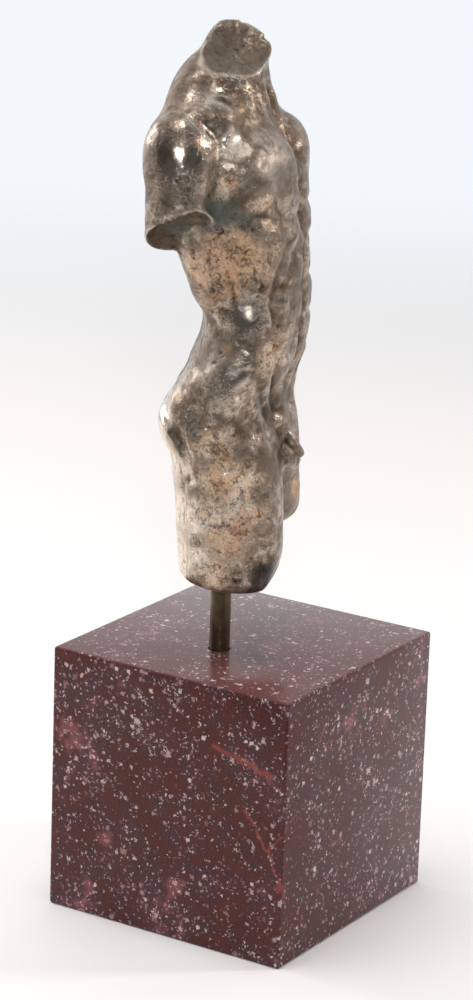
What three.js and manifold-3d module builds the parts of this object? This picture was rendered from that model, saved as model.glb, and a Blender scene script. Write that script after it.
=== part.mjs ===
// Headless male torso cast in silver, held on a round rod above a square stone plinth.
// Millimetres, +Z up, origin at the middle of the plinth's underside.
// The figure faces -Y, turned a little toward +X, with its right side at -X.

import * as THREE from 'three';
import { mergeVertices } from 'three/addons/utils/BufferGeometryUtils.js';
import { RoundedBoxGeometry } from 'three/addons/geometries/RoundedBoxGeometry.js';
import Module from 'manifold-3d';

const wasm = await Module();
wasm.setup();

// Plinth and rod
const plinthSide = 80;
const plinthHeight = 80;
const plinthEdgeRadius = 0.8;
const rodDiameter = 6;
const rodGap = 0.3;
const rodDepthInPlinth = 16;
const rodDepthInThigh = 9;

// Figure: from the end of the right thigh to the top of the neck
const figureHeight = 158;
const figureLift = 21.4;
const meshCell = 2.85;

// The body tables below are drawn for a figure of tableHeight and scaled to figureHeight.
const tableHeight = 158;
const scale = figureHeight / tableHeight;
const thighEnd = 2.4;
const rodSpot = [-11, 4.1];
const figureBase = plinthHeight + figureLift - thighEnd * scale;

// Trunk sections: height, half width, depth to the front, depth to the back, squareness
const trunkSections = [
  [34, 22, 12, 13, 2.2],
  [44, 26.5, 14.5, 15, 2.3],
  [52, 27.4, 15.5, 15, 2.2],
  [60, 26.2, 15.5, 14.3, 2.1],
  [68, 24.6, 15, 13.8, 2.1],
  [76, 23.5, 14.3, 12.8, 2.3],
  [84, 23.3, 15, 12.9, 2.3],
  [92, 24.5, 16.2, 14, 2.3],
  [100, 26, 17.7, 16.3, 2.3],
  [108, 27, 18.3, 18, 2.3],
  [116, 27, 17.3, 18.5, 2.3],
  [124, 26, 15.3, 18, 2.2],
  [132, 23.5, 12.5, 15.8, 2.1],
  [140, 18.5, 9, 13.5, 2],
  [146, 12.3, 7.4, 11.5, 2],
  [151, 9.9, 7.8, 9.6, 2],
  [157, 11.2, 12.2, 9.6, 2],
  [163, 12.4, 14.2, 10, 2],
  [172, 13, 13, 11, 2],
];

// Stance: height, shift sideways, shift backward, turn in degrees
const stance = [
  [-10, 0, 1.5, 14],
  [20, 0, 1.5, 14],
  [33, 0, 2.4, 14],
  [44, 0, 5.2, 14],
  [53, 0, 6.9, 14],
  [62, 0, 4.8, 14],
  [70, 0, 1.6, 15],
  [77, 0, 0.2, 15],
  [86, 0, 1, 16],
  [96, 0, 3, 17],
  [106, 0, 4.4, 18],
  [116, 0, 5.2, 18],
  [126, 0, 5.8, 18],
  [136, 0, 6.6, 18],
  [146, -0.8, 6.8, 18],
  [156, -1.6, 6.8, 18],
  [170, -2.8, 6.6, 18],
];

// Side lean of the hips and shoulders: height, rise per millimetre toward +X
const lean = [
  [40, 0.07],
  [60, 0.07],
  [100, -0.06],
  [130, -0.06],
];

// Body masses, each given for the +X side and mirrored
const trunkMasses = [
  { name: 'chest muscle', at: [12, -8.2, 121.8], radii: [15.5, 8.2, 12.6], turn: [10, -22, 14], blend: 2.2 },
  { name: 'chest corner', at: [20.5, -5, 122], radii: [10, 8.2, 10.5], turn: [0, -25, 0], blend: 4 },
  { name: 'shoulder groove', from: [22, 0.5, 138], to: [26, 1.5, 124], ends: [5.5, 5], blend: 5 },
  { name: 'armpit wall', from: [25, 2, 122], to: [21.5, 4, 104], ends: [6, 4.5], blend: 5 },
  { name: 'shoulder slope', from: [5, 6.5, 147.5], to: [25, 10, 139], ends: [7.4, 5.6], blend: 5 },
  { name: 'upper back', at: [9, 11, 140], radii: [14, 6.5, 10], turn: [0, 18, 0], blend: 5 },
  { name: 'collar bone', from: [4, -6.5, 139.5], to: [27, 4, 140], ends: [2.4, 3.4], blend: 3 },
  { name: 'neck cord', from: [2.5, -6.2, 141], to: [7.5, 1.5, 161], ends: [2.6, 3.2], blend: 2.5 },
  { name: 'shoulder blade', at: [14, 13.5, 122], radii: [11, 6, 15], turn: [0, -8, 0], blend: 4 },
  { name: 'broad back', from: [22.5, 8, 122], to: [17.5, 6, 90], ends: [8.5, 6.5], blend: 5 },
  { name: 'flank', at: [16.4, -2.8, 81.2], radii: [7.8, 8.2, 9.6], turn: [0, 0, 6], blend: 1.8 },
  { name: 'hip', at: [17.4, -4, 60], radii: [10.2, 8.6, 17], turn: [0, 3, 0], blend: 5 },
  { name: 'buttock', at: [12.3, 4.4, 48.5], radii: [13.2, 11.8, 13.5], turn: [0, 0, 0], blend: 3 },
  { name: 'pubis', at: [0, -9.5, 48], radii: [9, 7, 8], turn: [0, 0, 0], blend: 4 },
  { name: 'scrotum', at: [1.8, -13.8, 38.4], radii: [2.9, 3.9, 4.4], turn: [0, 0, 0], blend: 1 },
  { name: 'penis', from: [0, -14.8, 46], to: [0, -18, 39.8], ends: [2.1, 1.9], blend: 1 },
];
const legMasses = [
  { name: 'thigh outside', at: [17.8, -2.4, 24], radii: [10.8, 12.8, 24], turn: [0, 0, 0], blend: 5 },
  { name: 'hamstring', at: [12.8, 3.9, 16], radii: [11.4, 9.4, 25], turn: [0, 0, 0], blend: 5 },
  { name: 'thigh', from: [13, 0.5, 42], to: [12.7, -1, -14], ends: [15.8, 14.2], blend: 4 },
];
const armMasses = [
  { name: 'shoulder cap', at: [30.2, 9.6, 129], radii: [10, 10.2, 13.2], turn: [0, 9, 0], blend: 1.6 },
  { name: 'shoulder front', at: [27.5, 6, 128], radii: [8, 7, 12], turn: [0, 8, 0], blend: 2.5 },
  { name: 'upper arm', from: [31, 9.8, 124], to: [33.5, 10.8, 88], ends: [9.2, 9.4], blend: 2.5 },
];
const armBlend = 1.8;

// Furrows (negative) and ridges (positive) drawn on the front, side or back
const carving = [
  { name: 'midline', on: 'front', path: [[0, 60], [0, 108]], width: 2, depth: -1.1 },
  { name: 'breastbone', on: 'front', path: [[0, 108], [0, 141]], width: 2.8, depth: -1.3 },
  {
    name: 'chest edge', on: 'front',
    path: [[1, 109.5], [10, 109], [18, 111.5], [23.5, 114.5], [28, 119.5], [30, 124]],
    width: 2.7, depth: -1.3,
  },
  { name: 'rib arch', on: 'front', path: [[2, 106], [8, 100], [14, 91]], width: 2.4, depth: -0.9 },
  {
    name: 'belly border', on: 'front',
    path: [[12, 104], [15.5, 96], [16.8, 86], [16, 77], [12, 64], [5, 52]], width: 2.2, depth: -1.4,
  },
  { name: 'upper belly band', on: 'front', path: [[2, 99], [10, 100.5]], width: 1.8, depth: -0.7 },
  { name: 'middle belly band', on: 'front', path: [[2, 89], [13, 90.5]], width: 1.8, depth: -0.8 },
  { name: 'lower belly band', on: 'front', path: [[2, 78.5], [13, 80]], width: 1.8, depth: -0.7 },
  { name: 'navel', on: 'front', path: [[0, 73.6], [0, 74.4]], width: 1.7, depth: -1.8 },
  { name: 'groin', on: 'front', path: [[24, 68], [18.5, 61], [10.5, 51.5], [5, 46]], width: 2, depth: -1.1 },
  { name: 'hip crest', on: 'side', path: [[-15, 69.5], [-7, 72.3], [-2, 73.4]], width: 2, depth: -0.7 },
  { name: 'crest ridge', on: 'side', path: [[-13, 66.5], [-6, 69.3], [-1, 70.4]], width: 1.7, depth: 0.4 },
  { name: 'upper rib', on: 'side', path: [[-12, 108], [-4, 104]], width: 2.4, depth: 0.3 },
  { name: 'middle rib', on: 'side', path: [[-12, 102], [-4, 97]], width: 2.4, depth: 0.35 },
  { name: 'lower rib', on: 'side', path: [[-11, 96], [-3, 90]], width: 2.4, depth: 0.3 },
  { name: 'hip hollow', on: 'side', path: [[-2, 40], [1, 52]], width: 6, depth: -1 },
  {
    name: 'buttock crease', on: 'side',
    path: [[16, 57], [12.7, 52.2], [7, 46], [5.4, 40], [6.4, 34]], width: 1.9, depth: -1.3,
  },
  { name: 'spine furrow', on: 'back', path: [[0, 56], [0, 80], [0, 110], [0, 146]], width: 3.2, depth: -2.2 },
  { name: 'spine muscle', on: 'back', path: [[6, 60], [6.5, 80], [7, 98]], width: 3.5, depth: 1.2 },
  { name: 'blade edge', on: 'back', path: [[7, 108], [7, 122], [10, 134]], width: 2.6, depth: -0.8 },
  { name: 'blade top', on: 'back', path: [[9, 134], [20, 138], [28, 140]], width: 2.8, depth: 0.6 },
  { name: 'buttock cleft', on: 'back', path: [[0, 30], [0, 60]], width: 2.4, depth: -5 },
  { name: 'buttock fold', on: 'back', path: [[3, 36], [12, 34.5], [20, 39]], width: 2.4, depth: -1.8 },
  { name: 'back dimple', on: 'back', path: [[8, 62.7], [8, 63.3]], width: 2.6, depth: -1.3 },
];

// Broken ends: a point of each cut and the way out of the metal
const neckCut = { at: [-1.8, 7.1, 153.9], out: [-0.416, -0.34, 0.843], reach: 15 };
const rightArmCut = { at: [-34, 14.6, 109.4], out: [-0.555, -0.355, -0.752] };
const leftArmCut = { at: [33, 14.6, 114], out: [0.5, -0.25, -0.83] };
const rightThighFacet = { at: [-11, -15.1, 15], out: [0.1, -0.93, -0.36] };
const leftThighEnd = 14.2;
const leftLegBack = 5;
const leftArmBack = 1.6;
const leftShoulderDrop = 2.6;
const thighEndRounding = 5;

const clamp = (value, low = 0, high = 1) => Math.min(Math.max(value, low), high);
const dot = (a, b) => a[0] * b[0] + a[1] * b[1] + a[2] * b[2];
const minus = (a, b) => [a[0] - b[0], a[1] - b[1], a[2] - b[2]];
const radians = (degrees) => (degrees * Math.PI) / 180;

function smoothMin(a, b, blend) {
  const share = clamp(0.5 + (0.5 * (b - a)) / blend);
  return b + (a - b) * share - blend * share * (1 - share);
}

function smoothMax(a, b, blend) {
  return -smoothMin(-a, -b, blend);
}

// Slope of one column at each row of a table, weighted by the distance to the rows beside it
function columnSlopes(table, column) {
  const slopes = [];
  for (let i = 0; i < table.length; i += 1) {
    const below = Math.max(i - 1, 0);
    const above = Math.min(i + 1, table.length - 1);
    const down = table[i][0] - table[below][0];
    const up = table[above][0] - table[i][0];
    const slopeDown = down > 0 ? (table[i][column] - table[below][column]) / down : 0;
    const slopeUp = up > 0 ? (table[above][column] - table[i][column]) / up : 0;
    if (down === 0) slopes.push(slopeUp);
    else if (up === 0) slopes.push(slopeDown);
    else slopes.push((up * slopeDown + down * slopeUp) / (up + down));
  }
  return slopes;
}

// A smooth curve through one column of a table, read at a height
function smoothColumn(table, column) {
  const slopes = columnSlopes(table, column);
  return (height) => {
    let i = 0;
    while (i < table.length - 2 && height > table[i + 1][0]) i += 1;
    const step = table[i + 1][0] - table[i][0];
    const t = clamp((height - table[i][0]) / step);
    const t2 = t * t;
    const t3 = t2 * t;
    return (
      (2 * t3 - 3 * t2 + 1) * table[i][column] +
      (t3 - 2 * t2 + t) * step * slopes[i] +
      (3 * t2 - 2 * t3) * table[i + 1][column] +
      (t3 - t2) * step * slopes[i + 1]
    );
  };
}

// Straight steps between the rows of a table, read at a height
function straightColumn(table, column) {
  return (height) => {
    let i = 0;
    while (i < table.length - 2 && height > table[i + 1][0]) i += 1;
    const t = clamp((height - table[i][0]) / (table[i + 1][0] - table[i][0]));
    return table[i][column] + (table[i + 1][column] - table[i][column]) * t;
  };
}

const halfWidthAt = smoothColumn(trunkSections, 1);
const frontAt = smoothColumn(trunkSections, 2);
const backAt = smoothColumn(trunkSections, 3);
const squarenessAt = smoothColumn(trunkSections, 4);
const sidewaysAt = smoothColumn(stance, 1);
const backwardAt = smoothColumn(stance, 2);
const turnAt = smoothColumn(stance, 3);
const leanAt = straightColumn(lean, 1);

// Rotation of a mass as the three directions of its own axes
function axesOf(turn) {
  const euler = new THREE.Euler(radians(turn[0]), radians(turn[1]), radians(turn[2]), 'ZYX');
  const matrix = new THREE.Matrix4().makeRotationFromEuler(euler);
  const axes = [new THREE.Vector3(), new THREE.Vector3(), new THREE.Vector3()];
  matrix.extractBasis(axes[0], axes[1], axes[2]);
  return axes.map((axis) => axis.toArray());
}

function ellipsoidDistance(point, mass) {
  const v = minus(point, mass.at);
  let first = 0;
  let second = 0;
  for (let i = 0; i < 3; i += 1) {
    const along = dot(v, mass.axes[i]) / mass.radii[i];
    first += along ** 2;
    second += (along / mass.radii[i]) ** 2;
  }
  const k = Math.sqrt(first);
  return (k * (k - 1)) / Math.max(Math.sqrt(second), 1e-6);
}

function limbDistance(point, mass) {
  const along = minus(mass.to, mass.from);
  const v = minus(point, mass.from);
  const t = clamp(dot(v, along) / dot(along, along));
  const away = Math.hypot(v[0] - t * along[0], v[1] - t * along[1], v[2] - t * along[2]);
  return away - (mass.ends[0] + (mass.ends[1] - mass.ends[0]) * t);
}

function joinMasses(distance, point, masses) {
  let joined = distance;
  for (const mass of masses) {
    const own = mass.at ? ellipsoidDistance(point, mass) : limbDistance(point, mass);
    joined = joined === null ? own : smoothMin(joined, own, mass.blend);
  }
  return joined;
}

for (const mass of [...trunkMasses, ...legMasses, ...armMasses]) {
  if (mass.at) mass.axes = axesOf(mass.turn);
}

function trunkDistance([x, y, z]) {
  const power = squarenessAt(z);
  const depth = y < 0 ? frontAt(z) : backAt(z);
  const share = Math.abs(x / halfWidthAt(z)) ** power + Math.abs(y / depth) ** power;
  const ratio = Math.max(share ** (1 / power), 1e-3);
  return 0.92 * Math.hypot(x, y) * (1 - 1 / ratio);
}

function pathDistanceSquared(u, v, path) {
  let nearest = Infinity;
  for (let i = 0; i < path.length - 1; i += 1) {
    const du = path[i + 1][0] - path[i][0];
    const dv = path[i + 1][1] - path[i][1];
    const t = clamp(((u - path[i][0]) * du + (v - path[i][1]) * dv) / (du * du + dv * dv));
    nearest = Math.min(nearest, (u - path[i][0] - t * du) ** 2 + (v - path[i][1] - t * dv) ** 2);
  }
  return nearest;
}

// How far the carving lifts the surface at a point of the mirrored figure
function carvedRelief(x, y, z) {
  const shown = {
    front: clamp(-y / 5),
    back: clamp(y / 5),
    side: clamp((x - 14) / 5) * clamp((30 - x) / 3),
  };
  let relief = 0;
  for (const line of carving) {
    if (shown[line.on] === 0) continue;
    const across = line.on === 'side' ? y : x;
    const fade = Math.exp(-pathDistanceSquared(across, z, line.path) / line.width ** 2);
    relief += line.depth * fade * shown[line.on];
  }
  return relief;
}

// The straight figure stands at `rest`; `posed` is the same spot after the shift and the lean.
function posedPoint(rest) {
  let [x, y, z] = rest;
  for (let i = 0; i < 6; i += 1) {
    x = rest[0] + sidewaysAt(z);
    y = rest[1] + backwardAt(z);
    z = rest[2] - leanAt(z) * x;
  }
  return [x, y, z];
}

// Distance to the metal: negative inside, all sizes in the tables' own millimetres
function figureDistance(rest) {
  const posed = posedPoint(rest);
  const leftSide = rest[0] > 0;
  const [, y, z] = rest;
  const chestNarrowing = 0.055 * clamp((z - 95) / 20) * clamp((150 - z) / 12);
  const shoulderNarrowing = 0.1 * clamp((z - 129) / 8) * clamp((152 - z) / 8);
  const x = Math.abs(rest[0]) * (leftSide ? 1 + chestNarrowing + shoulderNarrowing : 1);
  const shoulderDrop = leftSide ? leftShoulderDrop * clamp((x - 12) / 10) * clamp((z - 126) / 8) : 0;
  const legBack = leftSide ? leftLegBack * clamp((52 - posed[2]) / 24) : 0;

  let distance = smoothMax(trunkDistance([x, y, z]), 34 - z, 6);
  distance = joinMasses(distance, [x, y, z + shoulderDrop], trunkMasses);
  distance = joinMasses(distance, [x, y - legBack, z], legMasses);

  const armCut = leftSide ? leftArmCut : rightArmCut;
  const arm = smoothMax(
    joinMasses(null, [x, leftSide ? y - leftArmBack : y, z + shoulderDrop], armMasses),
    dot(minus(posed, armCut.at), armCut.out),
    0.4,
  );
  distance = smoothMin(distance, arm, armBlend) - carvedRelief(x, y, z);

  const fromNeck = Math.hypot(posed[0] - neckCut.at[0], posed[1] - neckCut.at[1]);
  const neckPlane = Math.min(dot(minus(posed, neckCut.at), neckCut.out), neckCut.reach - fromNeck);
  distance = smoothMax(distance, neckPlane, 0.4);

  const halfGap = -4 + 5.2 * clamp((44 - z) / 14) + 0.4 * clamp((30 - z) / 28);
  distance = smoothMax(distance, halfGap - x, 2.5);
  const lowest = leftSide ? leftThighEnd : thighEnd + 0.05 * posed[1];
  distance = smoothMax(distance, lowest - posed[2], thighEndRounding);
  if (leftSide) return distance;
  const facet = dot(minus(posed, rightThighFacet.at), rightThighFacet.out);
  return smoothMax(distance, facet, 1.2);
}

function slopeOf(field, point) {
  const step = 0.05;
  const slope = [0, 1, 2].map((axis) => {
    const ahead = [...point];
    const behind = [...point];
    ahead[axis] += step;
    behind[axis] -= step;
    return field(ahead) - field(behind);
  });
  const length = Math.hypot(...slope) || 1;
  return slope.map((part) => part / length);
}

// Point on a cell edge where the field passes through zero
function crossingPoint(field, inside, outside) {
  let near = inside;
  let far = outside;
  for (let i = 0; i < 7; i += 1) {
    const middle = near.map((part, axis) => (part + far[axis]) / 2);
    if (field(middle) < 0) near = middle;
    else far = middle;
  }
  return near.map((part, axis) => (part + far[axis]) / 2);
}

function determinant(a, b, c) {
  return (
    a[0] * (b[1] * c[2] - b[2] * c[1]) -
    a[1] * (b[0] * c[2] - b[2] * c[0]) +
    a[2] * (b[0] * c[1] - b[1] * c[0])
  );
}

// Point of a cell that best fits the surface planes crossing it, kept inside the cell
function cellPoint(crossings, corner, cell) {
  const centre = [0, 1, 2].map(
    (axis) => crossings.reduce((sum, crossing) => sum + crossing.at[axis], 0) / crossings.length,
  );
  const stiffness = 0.25;
  const rows = [
    [stiffness, 0, 0],
    [0, stiffness, 0],
    [0, 0, stiffness],
  ];
  const side = [0, 0, 0];
  for (const { at, slope } of crossings) {
    const height = dot(slope, minus(at, centre));
    for (let i = 0; i < 3; i += 1) {
      for (let j = 0; j < 3; j += 1) rows[i][j] += slope[i] * slope[j];
      side[i] += slope[i] * height;
    }
  }
  const whole = determinant(...rows);
  return [0, 1, 2].map((axis) => {
    const swapped = rows.map((row, i) => row.map((part, j) => (j === axis ? side[i] : part)));
    const moved = centre[axis] + determinant(...swapped) / whole;
    return clamp(moved, corner[axis] + 0.04 * cell, corner[axis] + 0.96 * cell);
  });
}

// The triangles of the piece with the most triangles, without specks left beside it
function largestPiece(pointCount, triangles) {
  const parent = Array.from({ length: pointCount }, (_, i) => i);
  const rootOf = (point) => {
    let root = point;
    while (parent[root] !== root) root = parent[root];
    return root;
  };
  for (let i = 0; i < triangles.length; i += 3) {
    const root = rootOf(triangles[i]);
    parent[rootOf(triangles[i + 1])] = root;
    parent[rootOf(triangles[i + 2])] = root;
  }
  const sizes = new Map();
  for (const point of triangles) sizes.set(rootOf(point), (sizes.get(rootOf(point)) || 0) + 1);
  const [largest] = [...sizes].sort((a, b) => b[1] - a[1])[0];
  return triangles.filter((point) => rootOf(point) === largest);
}

// Fills grid corners where two sheets of the surface would meet along one edge
function fillPinches(values, counts, keyOf) {
  const filled = -1e-6;
  let found = true;
  while (found) {
    found = false;
    for (let k = 0; k < counts[2] - 1; k += 1) {
      for (let j = 0; j < counts[1] - 1; j += 1) {
        for (let i = 0; i < counts[0] - 1; i += 1) {
          for (const [u, v] of [[[1, 0, 0], [0, 1, 0]], [[0, 1, 0], [0, 0, 1]], [[0, 0, 1], [1, 0, 0]]]) {
            const corners = [
              keyOf(i, j, k),
              keyOf(i + u[0], j + u[1], k + u[2]),
              keyOf(i + u[0] + v[0], j + u[1] + v[1], k + u[2] + v[2]),
              keyOf(i + v[0], j + v[1], k + v[2]),
            ];
            const inside = corners.map((corner) => values[corner] < 0);
            if (inside[0] !== inside[2] || inside[1] !== inside[3] || inside[0] === inside[1]) continue;
            const [a, b] = inside[0] ? [corners[1], corners[3]] : [corners[0], corners[2]];
            values[values[a] < values[b] ? a : b] = filled;
            found = true;
          }
        }
      }
    }
  }
}

// Closed triangle mesh of the zero surface of a field, one point for each cell it passes
function surfaceMesh(field, low, high, cell) {
  const counts = low.map((start, axis) => Math.ceil((high[axis] - start) / cell) + 1);
  const cornerAt = (i, j, k) => [low[0] + i * cell, low[1] + j * cell, low[2] + k * cell];
  const keyOf = (i, j, k) => i + counts[0] * (j + counts[1] * k);
  const values = new Float64Array(counts[0] * counts[1] * counts[2]);
  for (let k = 0; k < counts[2]; k += 1) {
    for (let j = 0; j < counts[1]; j += 1) {
      for (let i = 0; i < counts[0]; i += 1) values[keyOf(i, j, k)] = field(cornerAt(i, j, k));
    }
  }
  fillPinches(values, counts, keyOf);

  const crossingsOfCell = new Map();
  const faces = [];
  for (let k = 1; k < counts[2] - 1; k += 1) {
    for (let j = 1; j < counts[1] - 1; j += 1) {
      for (let i = 1; i < counts[0] - 1; i += 1) {
        for (let axis = 0; axis < 3; axis += 1) {
          const next = [i, j, k];
          next[axis] += 1;
          const startInside = values[keyOf(i, j, k)] < 0;
          if (startInside === values[keyOf(...next)] < 0) continue;
          const ends = [cornerAt(i, j, k), cornerAt(...next)];
          if (!startInside) ends.reverse();
          const at = crossingPoint(field, ends[0], ends[1]);
          const crossing = { at, slope: slopeOf(field, at) };
          const u = (axis + 1) % 3;
          const v = (axis + 2) % 3;
          const ring = [];
          for (const [stepU, stepV] of [[0, 0], [1, 0], [1, 1], [0, 1]]) {
            const cellIndex = [i, j, k];
            cellIndex[u] -= stepU;
            cellIndex[v] -= stepV;
            const key = keyOf(...cellIndex);
            if (!crossingsOfCell.has(key)) {
              crossingsOfCell.set(key, { corner: cornerAt(...cellIndex), crossings: [] });
            }
            crossingsOfCell.get(key).crossings.push(crossing);
            ring.push(key);
          }
          if (!startInside) ring.reverse();
          faces.push(ring);
        }
      }
    }
  }

  const points = [];
  const pointOfCell = new Map();
  for (const [key, { corner, crossings }] of crossingsOfCell) {
    pointOfCell.set(key, points.length);
    points.push(cellPoint(crossings, corner, cell));
  }
  const triangles = [];
  for (const ring of faces) {
    const [a, b, c, d] = ring.map((key) => pointOfCell.get(key));
    const middleOf = (m, n) => points[m].map((part, axis) => (part + points[n][axis]) / 2);
    const firstError = Math.abs(field(middleOf(a, c)));
    const secondError = Math.abs(field(middleOf(b, d)));
    if (firstError <= secondError) triangles.push(a, b, c, a, c, d);
    else triangles.push(a, b, d, b, c, d);
  }
  return { points, triangles: largestPiece(points.length, triangles) };
}

// From the straight figure to its stance above the plinth
function standingPoint(rest) {
  const [x, y, z] = posedPoint(rest);
  const angle = radians(turnAt(z));
  return [
    scale * (x * Math.cos(angle) - y * Math.sin(angle)),
    scale * (x * Math.sin(angle) + y * Math.cos(angle)),
    figureBase + scale * z,
  ];
}

function solidOf(geometry) {
  const plain = geometry.clone();
  plain.deleteAttribute('normal');
  plain.deleteAttribute('uv');
  const merged = mergeVertices(plain, 1e-4);
  return new wasm.Manifold(
    new wasm.Mesh({
      numProp: 3,
      vertProperties: new Float32Array(merged.attributes.position.array),
      triVerts: new Uint32Array(merged.index.array),
    }),
  );
}

function geometryOf(solid) {
  const mesh = solid.getMesh();
  const geometry = new THREE.BufferGeometry();
  geometry.setAttribute('position', new THREE.BufferAttribute(mesh.vertProperties, 3));
  geometry.setIndex(new THREE.BufferAttribute(mesh.triVerts, 1));
  geometry.computeVertexNormals();
  return geometry;
}

// Upright round bar between two heights on the rod's own axis
function roundBar(diameter, bottom, top) {
  const bar = new THREE.CylinderGeometry(diameter / 2, diameter / 2, top - bottom, 40);
  bar.rotateX(Math.PI / 2);
  bar.translate(rodAxis[0], rodAxis[1], (top + bottom) / 2);
  return bar;
}

function figureGeometry() {
  const low = [-44.95, -30, -6];
  const high = [44.95, 34, 176];
  const { points, triangles } = surfaceMesh(figureDistance, low, high, meshCell);
  const geometry = new THREE.BufferGeometry();
  geometry.setAttribute('position', new THREE.Float32BufferAttribute(points.flatMap(standingPoint), 3));
  geometry.setIndex(triangles);
  return geometry;
}

function namedMesh(name, geometry, colour, roughness, metalness) {
  const material = new THREE.MeshStandardMaterial({ color: colour, roughness, metalness });
  const mesh = new THREE.Mesh(geometry, material);
  mesh.name = name;
  return mesh;
}

const rodAxis = standingPoint([rodSpot[0], rodSpot[1] - backwardAt(0), 0]);
const socketDiameter = rodDiameter + 2 * rodGap;
const rodBottom = plinthHeight - rodDepthInPlinth;
const rodTop = plinthHeight + figureLift + rodDepthInThigh;

const socketTop = rodTop + rodGap;
const thighSocket = roundBar(socketDiameter, plinthHeight, socketTop);
const torso = solidOf(figureGeometry()).subtract(solidOf(thighSocket));

const block = new RoundedBoxGeometry(plinthSide, plinthSide, plinthHeight, 3, plinthEdgeRadius);
block.translate(0, 0, plinthHeight / 2);
const plinthHole = roundBar(socketDiameter, rodBottom - rodGap, plinthHeight + 5);
const plinth = solidOf(block).subtract(solidOf(plinthHole));

const sculpture = new THREE.Group();
sculpture.name = 'torso sculpture';
sculpture.add(
  namedMesh('torso', geometryOf(torso), 0x9a8a7a, 0.32, 1),
  namedMesh('rod', roundBar(rodDiameter, rodBottom, rodTop), 0x4b4336, 0.45, 1),
  namedMesh('plinth', geometryOf(plinth), 0x5c3d3c, 0.22, 0),
);

export default sculpture;
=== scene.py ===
import math
import bpy
import numpy as np
from mathutils import Matrix, Vector, kdtree


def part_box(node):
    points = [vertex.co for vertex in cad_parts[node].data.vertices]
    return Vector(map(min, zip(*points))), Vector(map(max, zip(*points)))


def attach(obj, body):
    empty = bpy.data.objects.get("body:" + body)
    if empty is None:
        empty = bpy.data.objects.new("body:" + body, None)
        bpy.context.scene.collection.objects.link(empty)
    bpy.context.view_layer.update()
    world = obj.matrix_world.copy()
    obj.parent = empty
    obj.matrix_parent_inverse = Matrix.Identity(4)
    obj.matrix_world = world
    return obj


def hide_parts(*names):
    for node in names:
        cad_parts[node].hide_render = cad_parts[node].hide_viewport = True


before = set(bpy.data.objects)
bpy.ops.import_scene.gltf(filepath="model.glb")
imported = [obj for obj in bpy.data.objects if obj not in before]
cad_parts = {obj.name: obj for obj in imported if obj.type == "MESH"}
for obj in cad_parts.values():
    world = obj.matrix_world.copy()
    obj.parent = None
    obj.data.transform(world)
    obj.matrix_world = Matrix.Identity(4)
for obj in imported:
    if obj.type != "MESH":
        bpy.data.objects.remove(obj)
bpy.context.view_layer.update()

plinthLow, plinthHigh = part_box("plinth")
torsoLow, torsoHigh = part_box("torso")
rodLow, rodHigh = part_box("rod")
rodGap = 0.0003  # clearance round the rod, in metres


def deselectAll():
    if bpy.context.mode != "OBJECT":
        bpy.ops.object.mode_set(mode="OBJECT")
    bpy.ops.object.select_all(action="DESELECT")


def selectOnly(piece):
    deselectAll()
    piece.select_set(True)
    bpy.context.view_layer.objects.active = piece


def linear(red, green, blue):  # a colour as painted on screen, 0 to 255, to light values
    def one(value):
        value = value / 255
        return value / 12.92 if value <= 0.04045 else ((value + 0.055) / 1.055) ** 2.4
    return (one(red), one(green), one(blue), 1.0)


class Wire:  # a shader socket that can stand in a Python expression
    def __init__(self, tree, socket):
        self.tree = tree
        self.socket = socket

    def math(self, operation, first, second=None):
        node = self.tree.nodes.new("ShaderNodeMath")
        node.operation = operation
        for index, value in enumerate((first, second)):
            if value is None:
                continue
            if isinstance(value, Wire):
                self.tree.links.new(value.socket, node.inputs[index])
            else:
                node.inputs[index].default_value = value
        return Wire(self.tree, node.outputs[0])

    def __add__(self, other): return self.math("ADD", self, other)
    def __radd__(self, other): return self.math("ADD", other, self)
    def __sub__(self, other): return self.math("SUBTRACT", self, other)
    def __rsub__(self, other): return self.math("SUBTRACT", other, self)
    def __mul__(self, other): return self.math("MULTIPLY", self, other)
    def __rmul__(self, other): return self.math("MULTIPLY", other, self)


class Nodes:  # every node of a material or of the surroundings is made by node()
    def __init__(self, tree):
        self.tree = tree

    def node(self, kind, settings=None, inputs=None):
        node = self.tree.nodes.new(kind)
        for key, value in (settings or {}).items():
            setattr(node, key, value)
        for key, value in (inputs or {}).items():
            self.feed(node.inputs[key], value)
        return {output.name: Wire(self.tree, output) for output in node.outputs if output.enabled}

    def feed(self, socket, value):
        if isinstance(value, Wire):
            self.tree.links.new(value.socket, socket)
        else:
            socket.default_value = value

    def band(self, value, low, high, start=0.0, end=1.0):  # smooth step between two levels
        return self.node("ShaderNodeMapRange", {"interpolation_type": "SMOOTHSTEP"}, {
            "Value": value, "From Min": low, "From Max": high, "To Min": start, "To Max": end})["Result"]

    def along(self, vector, way):  # how far a vector reaches in a given direction
        return self.node("ShaderNodeVectorMath", {"operation": "DOT_PRODUCT"}, {0: vector, 1: way})["Value"]


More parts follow.
